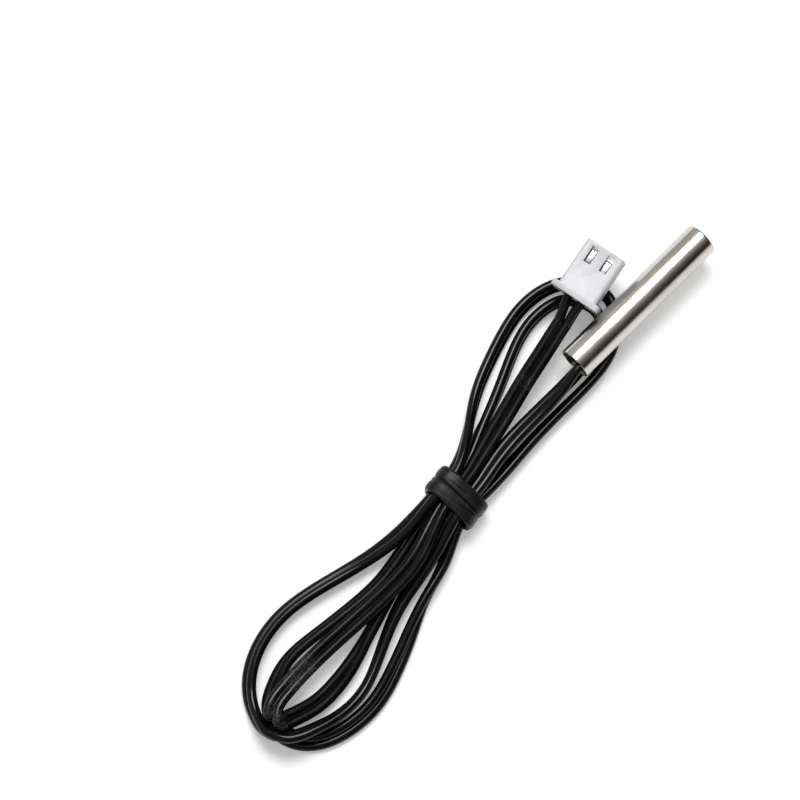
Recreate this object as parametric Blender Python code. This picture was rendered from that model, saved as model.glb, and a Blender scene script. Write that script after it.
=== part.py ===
# Resistance thermometer probe: a steel sleeve, a flat two core cable folded into a tied hank,
# and a two way crimp plug. The sleeve's closed tip is at the origin and the sleeve lies along X.

import bpy
import bmesh
import numpy as np
from math import cos, sin, pi, radians, sqrt, ceil
from mathutils import Vector

MM = 0.001

# Sleeve
sleeve_radius = 2.4
sleeve_length = 25.0
sleeve_wall = 0.3
sleeve_end_wall = 0.4
tip_edge_radius = 0.35
rim_radius = 0.1
sleeve_axis_height = 5.3          # axis above the surface that everything lies on
sleeve_steps = 64

# Cable
core_diameter = 1.35
conductor_diameter = 0.5
cable_diameter = core_diameter * 1.2
core_shell_diameter = 1.26        # single core past the split
split_spread = 1.05               # single core beside the plug's middle line where it enters
cable_points = 80
straight_spacing = 8.0            # distance between cable points where it runs straight
bend_points = 1.3                 # further points for each radian of bend
floor_height = core_diameter      # centre of a flat cable standing on its edge

# Tie
tie_centre = (-49.1, -1.45)
tie_heading = radians(6.0)
tie_inner_half_width = 3.45
tie_inner_height = 4.7
tie_inner_bottom = 0.8
tie_inner_corner = 1.3
tie_thickness = 0.72
tie_wraps = ((-1.05, 2.25), (1.05, 2.0))   # centre along the bundle and width of each wrap
tie_groove_depth = 0.42
low_slot = 2.05                   # heights of the two rows of strands in the tie
high_slot = 4.3
slot_reach = 2.3                  # half of the straight stretch through the tie

# Plug, measured along its length from the wire end, across, and up from its middle
plug_position = (-18.67, 6.2)     # middle of the flange's end face
plug_heading = radians(10.2)
plug_tilt = radians(11.0)         # far end higher than the wire end
plug_middle_height = 5.8
plug_pitch = 2.5
plug_length = 7.95
plug_width = 5.92
plug_thickness = 4.3
flange_length = 0.86
flange_width = 7.4
flange_thickness = 5.75
plug_corner = 0.45
plug_chamfer = 0.15
cavity_width = 1.9
cavity_bottom = -1.0
cavity_top = 1.6
cavity_corner = 0.25
window_width = 1.04
window_span = (4.95, 7.4)
rib_width = 0.7
rib_height = 0.35
rib_offset = 1.95
rib_end = 7.1

# Contact, from the wire end of the plug
contact_seat = (0.0, -0.3)        # the second contact sits a little further back
contact_box_span = (3.8, 7.3)
contact_box_width = 1.6
contact_box_bottom = -0.85
contact_box_top = 1.2
contact_sheet = 0.2
strip_sheet = 0.16
insulation_barrel = (0.95, 1.95)
wire_barrel = (2.35, 3.45)
wire_barrel_radius = 0.5
wire_barrel_drop = 0.3            # wire barrel's axis below the insulation barrel's
lance_span = (5.15, 6.85)
lance_height = 0.22
lance_width = 0.66

# Sensing end
potting_depth = 0.6                # compound below the rim, and its own length
potting_length = 4.0
potting_gap = 0.1
cable_entry = (-0.8, -0.05)       # cable centre beside and above the sleeve axis at the open end
cable_inside = 3.4                # length of cable held in the sleeve
cable_start = cable_inside - sleeve_length
entry_gap = 0.2
chip_size = (2.3, 2.0, 0.6)
chip_front = -1.5
glass_length = 1.0
glass_width = 1.6
glass_height = 0.65
lead_diameter = 0.25
lead_pitch = 0.9
joint_offset = 0.8
joint_gap = 5.7                   # from the compound's inner end to the solder joints
joint_length = 2.1
joint_radius = 0.42
sleeving_gap = 4.0                # from the compound's inner end to the sleevings
sleeving_length = 5.8
conductor_bends = (2.2, 3.8)      # from the compound's inner end to where the conductors turn
conductor_straight = 0.9          # of each conductor before its joint
lead_straight = 1.6               # of each lead behind its joint
lead_rise = 1.2                   # from the chip's back to the end of the leads' bend
sleeving_radii = (0.5, 0.64)
small_gap = 0.1
face_gap = 0.3

# Route of the cable from the sleeve to the plug: x, y and height above the surface
F = floor_height
from_probe = [
    (cable_start, -0.8, 5.25), (-sleeve_length - 0.4, -0.82, 5.25), (-28.0, -1.05, 4.75),
    (-33.0, -1.15, 4.0), (-38.5, -1.25, 3.8), (-43.0, -1.9, 4.05),
]
first_loop = [
    (-56.2, -4.5, 3.3), (-60.8, -5.4, 2.0), (-65.0, -6.4, 1.55), (-69.5, -8.2, F), (-74.4, -10.4, F),
    (-78.0, -11.2, 1.75), (-81.6, -11.0, 2.55), (-85.0, -10.05, 3.35), (-87.6, -8.8, 3.65),
    (-89.25, -6.5, 3.05), (-89.0, -3.7, 1.9), (-87.6, -0.9, F), (-85.2, 1.5, F), (-81.5, 3.3, F),
    (-76.5, 4.0, F), (-70.5, 3.1, F), (-64.0, 1.5, 1.5), (-57.2, 0.45, 2.9),
]
outer_turn = [
    (-42.3, 3.4, 3.1), (-37.1, 6.75, 1.75), (-32.0, 9.0, F), (-26.5, 10.7, F), (-22.3, 11.1, F),
    (-18.0, 10.0, F), (-15.2, 7.2, F), (-14.3, 3.7, F), (-15.9, 0.9, F), (-18.8, -1.5, F),
    (-23.0, -2.65, F), (-29.0, -2.8, F), (-36.0, -2.9, F), (-42.5, -3.3, 1.55),
]
second_loop = [
    (-56.0, -6.2, 1.5), (-61.7, -8.05, F), (-67.5, -10.4, 1.2), (-71.3, -11.9, 1.14),
    (-74.7, -12.95, 1.12), (-78.1, -13.35, 1.12), (-81.6, -12.95, 1.12), (-84.6, -11.85, 1.1),
    (-86.6, -10.2, 1.02), (-87.6, -8.4, 0.9), (-87.85, -6.5, 0.88), (-87.2, -4.75, 0.88),
    (-85.9, -3.2, 0.95), (-83.9, -2.0, 1.2), (-81.8, -1.15, 1.32), (-79.0, -0.8, F), (-75.0, -1.15, F),
    (-69.3, -1.8, F), (-64.5, -2.0, F), (-60.9, -1.55, 1.45), (-57.3, -0.75, 1.65),
]
inner_turn = [
    (-43.4, 1.75, 1.8), (-40.1, 2.95, 1.5), (-37.0, 4.1, 1.4), (-32.8, 5.85, F), (-26.5, 8.4, F),
    (-22.0, 8.8, F), (-18.9, 7.8, F), (-17.1, 5.4, F), (-17.0, 2.9, F), (-18.8, 0.9, F), (-21.9, -0.35, F),
    (-25.5, -0.8, F), (-31.0, -0.85, F), (-37.0, -0.95, F), (-42.5, -1.2, 1.6),
]
third_loop = [
    (-55.5, -2.4, 1.6), (-61.0, -3.32, F), (-66.5, -4.9, 1.3), (-70.5, -6.1, 1.3), (-73.3, -6.9, 1.2),
    (-76.0, -7.5, 1.1), (-78.8, -7.85, 1.1), (-81.6, -7.85, 1.4), (-84.2, -7.35, 2.1), (-86.3, -6.7, 2.65),
    (-87.4, -6.1, 3.35), (-87.4, -5.1, 4.15), (-85.9, -4.2, 4.2), (-83.9, -3.85, 3.9), (-81.0, -3.62, 3.6),
    (-75.5, -3.6, 3.55), (-69.0, -3.9, 3.55), (-62.5, -4.0, 3.9), (-57.8, -3.3, 4.2),
]
to_plug = [
    (-43.0, 0.15, 4.1), (-38.0, 1.45, 3.85), (-33.5, 2.63, 4.0), (-30.5, 3.36, 4.3), (-27.2, 4.05, 4.65),
    (-24.6, 4.62, 4.9), (-22.2, 5.13, 5.15),
]

# Slots of the strands in the tie, left to right across the bundle, in travelling order
slots = [(-1.4, high_slot), (2.35, high_slot), (-2.1, low_slot), (2.2, low_slot), (0.05, low_slot),
         (0.5, high_slot)]


def clear_scene():
    for old in list(bpy.data.objects):
        bpy.data.objects.remove(old, do_unlink=True)


def make_material(name, colour, roughness, metallic):
    material = bpy.data.materials.new(name)
    material.use_nodes = True
    shader = material.node_tree.nodes["Principled BSDF"]
    shader.inputs["Base Color"].default_value = (*colour, 1.0)
    shader.inputs["Roughness"].default_value = roughness
    shader.inputs["Metallic"].default_value = metallic
    return material


def add_mesh(name, bm, material, sharp=radians(40)):
    bmesh.ops.recalc_face_normals(bm, faces=bm.faces)
    mesh = bpy.data.meshes.new(name)
    bm.to_mesh(mesh)
    bm.free()
    mesh.shade_smooth()
    mesh.set_sharp_from_angle(angle=sharp)
    mesh.materials.append(material)
    piece = bpy.data.objects.new(name, mesh)
    bpy.context.collection.objects.link(piece)
    return piece


def arc(centre, radius, start, end, count):
    """Points on a circle in degrees, both ends included."""
    turn = [radians(start + (end - start) * i / count) for i in range(count + 1)]
    return [(centre[0] + radius * cos(t), centre[1] + radius * sin(t)) for t in turn]


def turned(name, outline, steps, material, closed=True):
    """Turn an outline of (x, radius) points in millimetres about the X axis."""
    bm = bmesh.new()
    ring = [bm.verts.new(Vector((x, r, 0)) * MM) for x, r in outline]
    pairs = list(zip(ring, ring[1:]))
    if closed:
        pairs.append((ring[-1], ring[0]))
    edges = [bm.edges.new(pair) for pair in pairs]
    bmesh.ops.spin(bm, geom=ring + edges, cent=(0, 0, 0), axis=(1, 0, 0), angle=2 * pi,
                   steps=steps, use_merge=True, use_duplicate=False)
    bmesh.ops.remove_doubles(bm, verts=bm.verts, dist=1e-7)
    on_axis = [v for v in bm.verts if v.co.yz.length < 1e-7]
    bmesh.ops.dissolve_verts(bm, verts=on_axis)
    return add_mesh(name, bm, material)


def rounded_rectangle(half_width, half_height, radius, steps=4, middle=(0.0, 0.0)):
    points = []
    corners = ((1, 1, 0), (-1, 1, 90), (-1, -1, 180), (1, -1, 270))
    for side, level, start in corners:
        centre = (middle[0] + side * (half_width - radius), middle[1] + level * (half_height - radius))
        points += arc(centre, radius, start, start + 90, steps)
    return points


def lofted(name, sections, material, ring=False):
    """Join sections, each a list of (x, y, z) points in millimetres, and cap the two ends."""
    bm = bmesh.new()
    loops = [[bm.verts.new(Vector(p) * MM) for p in section] for section in sections]
    count = len(loops[0])
    neighbours = list(zip(loops, loops[1:]))
    if ring:
        neighbours.append((loops[-1], loops[0]))
    for low, high in neighbours:
        for i in range(count):
            j = (i + 1) % count
            bm.faces.new((low[i], low[j], high[j], high[i]))
    if not ring:
        bm.faces.new(loops[0])
        bm.faces.new(loops[-1])
    return add_mesh(name, bm, material)


def prism(name, start, end, half_width, half_height, radius, material, middle=(0.0, 0.0), chamfer=0.0):
    """Bar along X with a rounded rectangle across it and an optional chamfer at both ends."""
    stations = [(start, chamfer), (end, chamfer)]
    if chamfer:
        stations = [(start, chamfer), (start + chamfer, 0.0), (end - chamfer, 0.0), (end, chamfer)]
    sections = []
    for x, inset in stations:
        shape = rounded_rectangle(half_width - inset, half_height - inset, radius, middle=middle)
        sections.append([(x, y, z) for y, z in shape])
    return lofted(name, sections, material)


def tube(name, start, end, outer, inner, material, middle=(0.0, 0.0), steps=24):
    """Open pipe along X."""
    bm = bmesh.new()
    rings = []
    for x, radius in ((start, outer), (end, outer), (end, inner), (start, inner)):
        turn = [2 * pi * i / steps for i in range(steps)]
        rings.append([bm.verts.new(Vector((x, middle[0] + radius * cos(t), middle[1] + radius * sin(t))) * MM)
                      for t in turn])
    for k in range(4):
        low, high = rings[k], rings[(k + 1) % 4]
        for i in range(steps):
            j = (i + 1) % steps
            bm.faces.new((low[i], low[j], high[j], high[i]))
    return add_mesh(name, bm, material)


def combine(target, tool, operation):
    modifier = target.modifiers.new(tool.name, 'BOOLEAN')
    modifier.operation = operation
    modifier.object = tool
    modifier.solver = 'EXACT'
    tool.hide_render = True
    tool.display_type = 'WIRE'


def smooth_curve(points, step=0.25):
    """Natural cubic spline through the points, sampled at an even distance."""
    p = np.array(points, float)
    t = np.concatenate(([0.0], np.cumsum(np.sqrt(np.linalg.norm(np.diff(p, axis=0), axis=1)))))
    h = np.diff(t)
    n = len(p)
    matrix = np.eye(n)
    right = np.zeros((n, 3))
    for i in range(1, n - 1):
        matrix[i, i - 1:i + 2] = h[i - 1], 2 * (h[i - 1] + h[i]), h[i]
        right[i] = 6 * ((p[i + 1] - p[i]) / h[i] - (p[i] - p[i - 1]) / h[i - 1])
    bend = np.linalg.solve(matrix, right)
    fine = np.linspace(0, t[-1], 200 * n)
    k = np.clip(np.searchsorted(t, fine, side='right') - 1, 0, n - 2)
    a = ((t[k + 1] - fine) / h[k])[:, None]
    b = 1 - a
    w = (h[k] ** 2 / 6)[:, None]
    curve = a * p[k] + b * p[k + 1] + w * ((a ** 3 - a) * bend[k] + (b ** 3 - b) * bend[k + 1])
    travelled = np.concatenate(([0.0], np.cumsum(np.linalg.norm(np.diff(curve, axis=0), axis=1))))
    even = np.linspace(0, travelled[-1], ceil(travelled[-1] / step))
    return np.stack([np.interp(even, travelled, curve[:, c]) for c in range(3)], axis=1)


def thin_out(curve, count):
    """Keep a number of points of an evenly sampled curve, closer together where it bends."""
    step = np.linalg.norm(curve[1] - curve[0])
    heading = np.diff(curve, axis=0)
    heading /= np.linalg.norm(heading, axis=1)[:, None]
    bend = np.linalg.norm(np.diff(heading, axis=0), axis=1) / step
    bend = np.concatenate(([bend[0]], bend, [bend[-1]]))
    density = 1 / straight_spacing + bend_points * bend
    share = np.concatenate(([0.0], np.cumsum((density[1:] + density[:-1]) / 2)))
    keep = np.interp(np.linspace(0, share[-1], count), share, np.arange(len(curve)))
    return np.stack([np.interp(keep, np.arange(len(curve)), curve[:, c]) for c in range(3)], axis=1)


def round_line(name, points, diameter, material):
    """Round tube with closed ends through points in millimetres."""
    data = bpy.data.curves.new(name, 'CURVE')
    data.dimensions = '3D'
    spline = data.splines.new('POLY')
    spline.points.add(len(points) - 1)
    for knot, point in zip(spline.points, points):
        knot.co = (*(Vector(point) * MM), 1.0)
    data.bevel_depth = diameter / 2 * MM
    data.bevel_resolution = 2
    data.use_fill_caps = True
    data.materials.append(material)
    piece = bpy.data.objects.new(name, data)
    bpy.context.collection.objects.link(piece)
    return piece


def in_tie(across, along, height):
    x = tie_centre[0] + along * cos(tie_heading) - across * sin(tie_heading)
    y = tie_centre[1] + along * sin(tie_heading) + across * cos(tie_heading)
    return (x, y, height)


def cable_route():
    """Whole route in the frame of the sleeve, with the slots in the tie put between the stretches."""
    stretches = [from_probe, first_loop, outer_turn, second_loop, inner_turn, third_loop, to_plug]
    route = list(stretches[0])
    for i, (across, height) in enumerate(slots):
        ends = (slot_reach, -slot_reach) if i % 2 == 0 else (-slot_reach, slot_reach)
        route += [in_tie(across, end, height) for end in ends]
        route += stretches[i + 1]
    return [(x, y, z - sleeve_axis_height) for x, y, z in route]


def from_plug(along, across, up):
    """Place in the plug, turned into the frame of the sleeve."""
    forward = along * cos(plug_tilt) - up * sin(plug_tilt)
    rise = along * sin(plug_tilt) + up * cos(plug_tilt)
    x = plug_position[0] + forward * cos(plug_heading) - across * sin(plug_heading)
    y = plug_position[1] + forward * sin(plug_heading) + across * cos(plug_heading)
    return (x, y, plug_middle_height - sleeve_axis_height + rise)


def make_sleeve(material):
    bore = sleeve_radius - sleeve_wall
    floor_edge = 0.2
    outline = [(0.0, 0.0)]
    outline += arc((-tip_edge_radius, sleeve_radius - tip_edge_radius), tip_edge_radius, 0, 90, 5)
    outline += arc((-sleeve_length + rim_radius, sleeve_radius - rim_radius), rim_radius, 90, 180, 3)
    outline += arc((-sleeve_length + rim_radius, bore + rim_radius), rim_radius, 180, 270, 3)
    outline += arc((-sleeve_end_wall - floor_edge, bore - floor_edge), floor_edge, 90, 0, 3)
    outline += [(-sleeve_end_wall, 0.0)]
    turned("probe_sleeve", outline, sleeve_steps, material, closed=False)


def inner_places():
    potting_end = potting_depth - sleeve_length + potting_length
    joint_start, sleeving_start = potting_end + joint_gap, potting_end + sleeving_gap
    return potting_end, (joint_start, joint_start + joint_length), (sleeving_start, sleeving_start + sleeving_length)


def make_potting(material):
    radius = sleeve_radius - sleeve_wall - potting_gap
    start = potting_depth - sleeve_length
    end = start + potting_length
    edge = 0.15
    outline = [(start, 0.0)]
    outline += arc((start + edge, radius - edge), edge, 180, 90, 3)
    outline += [(end, radius), (end, 0.0)]
    potting = turned("potting_compound", outline, 48, material, closed=False)
    channel = tube_cutter("cable_channel", start - 1, end + 1, cable_diameter / 2 + entry_gap, cable_entry)
    combine(potting, channel, 'DIFFERENCE')


def tube_cutter(name, start, end, radius, middle, steps=24):
    shape = rounded_rectangle(radius, radius, radius * 0.999, steps=steps // 4, middle=middle)
    return lofted(name, [[(x, y, z) for y, z in shape] for x in (start, end)], cutter_material)


def make_element(ceramic, glass, silver):
    length, width, height = chip_size
    back = chip_front - length
    prism("rtd_substrate", back, chip_front, width / 2, height / 2, 0.06, ceramic)
    bottom = height / 2 + small_gap
    middle = (0.0, bottom + glass_height / 2)
    cover = prism("rtd_glass_cover", back + small_gap, back + glass_length, glass_width / 2, glass_height / 2,
                  0.22, glass, middle=middle, chamfer=0.08)
    lead_level = middle[1] - 0.02
    sides = {"a": 1, "b": -1}
    joint_end = inner_places()[1][1]
    bend_start, bend_end = joint_end + lead_straight, back - lead_rise
    for letter, side in sides.items():
        across = side * lead_pitch / 2
        channel = tube_cutter("lead_channel_" + letter, back - 1, chip_front, lead_diameter / 2 + small_gap,
                              (across, lead_level), steps=16)
        combine(cover, channel, 'DIFFERENCE')
        points = [(joint_end + small_gap, side * joint_offset, 0.0), (bend_start, side * joint_offset, 0.0),
                  ((bend_start + bend_end) / 2, side * 0.68, 0.2), (bend_end, across, lead_level),
                  (back - 0.6, across, lead_level),
                  (back + glass_length * 0.8, across, lead_level)]
        round_line("element_lead_" + letter, smooth_curve(points)[::3], lead_diameter, silver)


def make_joints(solder, sleeving, copper):
    potting_end, (start, end), sleeving_span = inner_places()
    outline = [(start, 0.0), (start, 0.26)] + arc((start + 0.4, joint_radius - 0.2), 0.2, 120, 90, 2)
    outline += arc((end - 0.4, joint_radius - 0.2), 0.2, 90, 60, 2) + [(end, 0.18), (end, 0.0)]
    inner, outer = sleeving_radii
    first_bend, second_bend = (potting_end + bend for bend in conductor_bends)
    probe_end = {"a": (1, [(first_bend, -0.15, 0.82), (second_bend, 0.62, 0.35)]),
                 "b": (-1, [(first_bend, -0.85, -0.55), (second_bend, -0.82, -0.2)])}
    for letter, (side, bends) in probe_end.items():
        across = side * joint_offset
        joint = turned("solder_joint_" + letter, outline, 20, solder, closed=False)
        joint.location = (0, across * MM, 0)
        pipe = tube("lead_sleeving_" + letter, *sleeving_span, outer, inner, sleeving)
        pipe.location = (0, across * MM, 0)
        first = cable_start + face_gap
        level = cable_entry[1] + side * 0.4
        points = [(first, from_probe[0][1], level), (first + 0.8, from_probe[0][1], level)] + bends
        points += [(start - conductor_straight, across, 0.0), (start - small_gap, across, 0.0)]
        round_line("probe_conductor_" + letter, smooth_curve(points)[::3], conductor_diameter, copper)


def make_cable(insulation):
    curve = smooth_curve(cable_route())
    round_line("cable", thin_out(curve, cable_points), cable_diameter, insulation)
    return curve


def make_split_cores(insulation, copper, cable_curve):
    tail = Vector(cable_curve[-1])
    heading = (tail - Vector(cable_curve[-8])).normalized()
    left = Vector((-heading.y, heading.x, 0.0)).normalized()
    split_half = core_shell_diameter / 2 + face_gap / 2 + 0.05
    for letter, side in (("a", 1), ("b", -1)):
        across = side * plug_pitch / 2
        root = tail + heading * face_gap + left * side * split_half
        points = [root, root + heading * 0.6, from_plug(-0.2, side * split_spread, 0.0)]
        points += [from_plug(insulation_barrel[0], across, 0.0), from_plug(insulation_barrel[1], across, 0.0)]
        round_line("split_core_" + letter, smooth_curve(points)[::3], core_shell_diameter, insulation)
        wire_start = insulation_barrel[1] + small_gap
        points = [(wire_start, 0.0), (wire_start + 0.25, -wire_barrel_drop), (wire_barrel[1] + 0.05, -wire_barrel_drop)]
        points = [from_plug(x, across, up) for x, up in points]
        round_line("plug_conductor_" + letter, points, conductor_diameter, copper)


def place_in_plug(piece, frame, across=0.0, along=0.0):
    piece.parent = frame
    piece.location = Vector((along, across, 0.0)) * MM


def make_housing(nylon, frame):
    body = (plug_width / 2, plug_thickness / 2)
    flange = (flange_width / 2, flange_thickness / 2)
    small = 0.06
    stations = [(0.0, flange, small), (small, flange, 0.0), (flange_length - small, flange, 0.0),
                (flange_length, flange, small), (flange_length, body, 0.0),
                (plug_length - plug_chamfer, body, 0.0), (plug_length, body, plug_chamfer)]
    sections = []
    for x, (half_width, half_height), inset in stations:
        shape = rounded_rectangle(half_width - inset, half_height - inset, plug_corner)
        sections.append([(x, y, z) for y, z in shape])
    housing = lofted("plug_housing", sections, nylon)
    place_in_plug(housing, frame)
    level = (cavity_bottom + cavity_top) / 2
    half_cavity = (cavity_top - cavity_bottom) / 2
    for letter, side in (("a", 1), ("b", -1)):
        across = side * plug_pitch / 2
        rib = prism("rib_" + letter, flange_length - 0.3, rib_end, rib_width / 2, rib_height, 0.12, nylon,
                    middle=(0.0, -plug_thickness / 2))
        place_in_plug(rib, frame, side * rib_offset)
        combine(housing, rib, 'UNION')
        cavity = prism("cavity_" + letter, -1.0, plug_length + 1.0, cavity_width / 2, half_cavity,
                       cavity_corner, nylon, middle=(0.0, level))
        place_in_plug(cavity, frame, across)
        combine(housing, cavity, 'DIFFERENCE')
        window = prism("window_" + letter, *window_span, window_width / 2, 1.0, 0.08, nylon,
                       middle=(0.0, cavity_top + 0.6))
        place_in_plug(window, frame, across)
        combine(housing, window, 'DIFFERENCE')


def make_contact(letter, across, seat, steel, frame):
    level = (contact_box_bottom + contact_box_top) / 2
    half_height = (contact_box_top - contact_box_bottom) / 2
    half_width = contact_box_width / 2
    box = prism("contact_" + letter, *contact_box_span, half_width, half_height, 0.22, steel, middle=(0.0, level))
    place_in_plug(box, frame, across, seat)
    bore = prism("contact_bore_" + letter, contact_box_span[0] - 1, contact_box_span[1] + 1,
                 half_width - contact_sheet, half_height - contact_sheet, 0.12, steel, middle=(0.0, level))
    place_in_plug(bore, frame, across, seat)
    combine(box, bore, 'DIFFERENCE')
    strip_level = contact_box_bottom + 0.02 + strip_sheet / 2
    strip = prism("contact_strip_" + letter, insulation_barrel[0] + 0.1, contact_box_span[0] + 0.5, 0.38,
                  strip_sheet / 2, 0.03, steel, middle=(0.0, strip_level))
    barrel = core_shell_diameter / 2 + 0.08
    grip = tube("insulation_grip_" + letter, *insulation_barrel, barrel + 0.14, barrel, steel)
    crimp_bore = conductor_diameter / 2 + 0.07
    crimp = tube("wire_crimp_" + letter, *wire_barrel, wire_barrel_radius, crimp_bore, steel,
                 middle=(0.0, -wire_barrel_drop), steps=20)
    lance_back, lance_front = lance_span
    top = contact_box_top
    wedge = [(lance_front, top - 0.12), (lance_front, top + 0.1), (lance_back, top + lance_height),
             (lance_back, top - 0.12)]
    lance = lofted("lance_" + letter, [[(x, y, z) for x, z in wedge] for y in (-lance_width / 2, lance_width / 2)],
                   steel)
    for tool in (strip, grip, crimp, lance):
        place_in_plug(tool, frame, across, seat)
        combine(box, tool, 'UNION')


def make_plug(nylon, steel):
    frame = bpy.data.objects.new("plug_frame", None)
    bpy.context.collection.objects.link(frame)
    frame.location = Vector(from_plug(0.0, 0.0, 0.0)) * MM
    frame.rotation_euler = (0.0, -plug_tilt, plug_heading)
    make_housing(nylon, frame)
    for letter, side, seat in (("a", 1, contact_seat[0]), ("b", -1, contact_seat[1])):
        make_contact(letter, side * plug_pitch / 2, seat, steel, frame)


def make_tie(rubber):
    """Closed band of two wraps: a lobed section carried round a rounded rectangle."""
    profile = []
    for middle, width in tie_wraps:
        half = width / 2
        low = -tie_groove_depth if profile else -0.3
        edge = [(middle - half, low), (middle - half + 0.12, -0.06), (middle - half + 0.45, 0.0),
                (middle + half - 0.45, 0.0), (middle + half - 0.12, -0.06), (middle + half, -0.3)]
        profile += edge
    ends = (profile[-1][0] - 0.05, profile[0][0] + 0.05)
    profile += [(ends[0], -tie_thickness), (ends[1], -tie_thickness)]
    half_width = tie_inner_half_width + tie_thickness
    half_height = tie_inner_height / 2 + tie_thickness
    level = tie_inner_bottom + tie_inner_height / 2 - sleeve_axis_height
    sections = []
    for along, depth in profile:
        shape = rounded_rectangle(half_width + depth, half_height + depth,
                                  tie_inner_corner + tie_thickness + depth, steps=6)
        sections.append([(along, y, z) for y, z in shape])
    tie = lofted("hank_tie", sections, rubber, ring=True)
    tie.location = Vector((*tie_centre, level)) * MM
    tie.rotation_euler = (0.0, 0.0, tie_heading)


clear_scene()
cutter_material = make_material("cutter", (0.5, 0.5, 0.5), 0.5, 0.0)
polished = make_material("polished_steel", (0.78, 0.76, 0.73), 0.16, 1.0)
epoxy = make_material("black_epoxy", (0.02, 0.02, 0.02), 0.25, 0.0)
insulation = make_material("black_insulation", (0.015, 0.015, 0.016), 0.32, 0.0)
band = make_material("black_band", (0.03, 0.03, 0.03), 0.5, 0.0)
nylon = make_material("white_nylon", (0.78, 0.78, 0.8), 0.35, 0.0)
tinned = make_material("tinned_steel", (0.72, 0.72, 0.7), 0.25, 1.0)
copper = make_material("tinned_copper", (0.8, 0.6, 0.48), 0.35, 1.0)
solder = make_material("solder", (0.66, 0.66, 0.66), 0.4, 1.0)
sleeving = make_material("clear_sleeving", (0.85, 0.84, 0.8), 0.4, 0.0)
ceramic = make_material("white_ceramic", (0.86, 0.85, 0.82), 0.6, 0.0)
glass = make_material("glass_glaze", (0.35, 0.45, 0.5), 0.15, 0.0)
lead_wire = make_material("lead_wire", (0.8, 0.8, 0.78), 0.3, 1.0)

make_sleeve(polished)
make_potting(epoxy)
make_element(ceramic, glass, lead_wire)
make_joints(solder, sleeving, copper)
cable_curve = make_cable(insulation)
make_split_cores(insulation, copper, cable_curve)
make_plug(nylon, tinned)
make_tie(band)
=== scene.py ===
import bpy
import bmesh
import numpy as np
from math import atan2, ceil, cos, exp, hypot, pi, radians, sin, sqrt
from mathutils import Matrix, Vector, noise


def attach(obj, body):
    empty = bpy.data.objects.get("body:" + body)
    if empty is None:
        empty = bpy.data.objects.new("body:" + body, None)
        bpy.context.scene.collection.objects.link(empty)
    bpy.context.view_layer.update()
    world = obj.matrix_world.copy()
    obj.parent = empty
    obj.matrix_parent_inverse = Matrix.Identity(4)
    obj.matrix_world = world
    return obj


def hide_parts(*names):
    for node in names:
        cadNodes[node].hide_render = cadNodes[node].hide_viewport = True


# Thermometer probe on a white table: steel sleeve, flat two core cable in a tied hank, two way plug.
# Lengths below are in millimetres, and places are in the frame of the sleeve, whose closed tip is
# the origin. They become metres when a mesh or a curve is made.
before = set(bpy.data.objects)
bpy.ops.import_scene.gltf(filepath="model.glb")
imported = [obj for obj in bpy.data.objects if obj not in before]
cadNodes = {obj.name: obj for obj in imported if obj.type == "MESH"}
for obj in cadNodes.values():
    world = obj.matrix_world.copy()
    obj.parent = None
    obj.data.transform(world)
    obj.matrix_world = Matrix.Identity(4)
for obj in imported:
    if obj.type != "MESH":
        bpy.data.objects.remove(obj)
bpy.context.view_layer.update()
scene = bpy.context.scene
mm = 0.001
axisHeight = 5.3                     # sleeve axis above the table


# Camera

cameraSetup = {
    "target": (-44.37, 13.99, -axisHeight),
    "turn": 225.0,                   # degrees round the object, and above the table
    "height": 77.0,
    "distance": 500.0,
    "lens": 164.9,
}


def makeCamera():
    data = bpy.data.cameras.new("viewCamera")
    data.lens = cameraSetup["lens"]
    data.sensor_width = 36.0
    camera = bpy.data.objects.new("viewCamera", data)
    scene.collection.objects.link(camera)
    turn = radians(cameraSetup["turn"])
    height = radians(cameraSetup["height"])
    back = Vector((cos(turn) * cos(height), sin(turn) * cos(height), sin(height)))
    camera.location = (Vector(cameraSetup["target"]) + back * cameraSetup["distance"]) * mm
    camera.rotation_euler = back.to_track_quat('Z', 'Y').to_euler()
    scene.camera = camera


makeCamera()
print("camera placed")


# Helpers for curves and meshes

# natural cubic spline through values at the knots, read at other places
def naturalSpline(knots, values, at):
    h = np.diff(knots)
    n = len(knots)
    matrix = np.eye(n)
    right = np.zeros((n, values.shape[1]))
    for i in range(1, n - 1):
        matrix[i, i - 1:i + 2] = h[i - 1], 2 * (h[i - 1] + h[i]), h[i]
        right[i] = 6 * ((values[i + 1] - values[i]) / h[i] - (values[i] - values[i - 1]) / h[i - 1])
    bend = np.linalg.solve(matrix, right)
    k = np.clip(np.searchsorted(knots, at, side='right') - 1, 0, n - 2)
    a = ((knots[k + 1] - at) / h[k])[:, None]
    b = 1 - a
    w = (h[k] ** 2 / 6)[:, None]
    return a * values[k] + b * values[k + 1] + w * ((a ** 3 - a) * bend[k] + (b ** 3 - b) * bend[k + 1])


# cubic through single values that never overshoots between two of them
def steadySpline(knots, values, at):
    h = np.diff(knots)
    slope = np.diff(values) / h
    tangent = np.zeros(len(values))
    for i in range(1, len(values) - 1):
        before, after = slope[i - 1], slope[i]
        if before * after > 0:
            tangent[i] = 2 * before * after / (before + after)
    k = np.clip(np.searchsorted(knots, at, side='right') - 1, 0, len(values) - 2)
    t = (at - knots[k]) / h[k]
    return ((2 * t ** 3 - 3 * t ** 2 + 1) * values[k] + (t ** 3 - 2 * t ** 2 + t) * h[k] * tangent[k]
            + (3 * t ** 2 - 2 * t ** 3) * values[k + 1] + (t ** 3 - t ** 2) * h[k] * tangent[k + 1])


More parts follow.
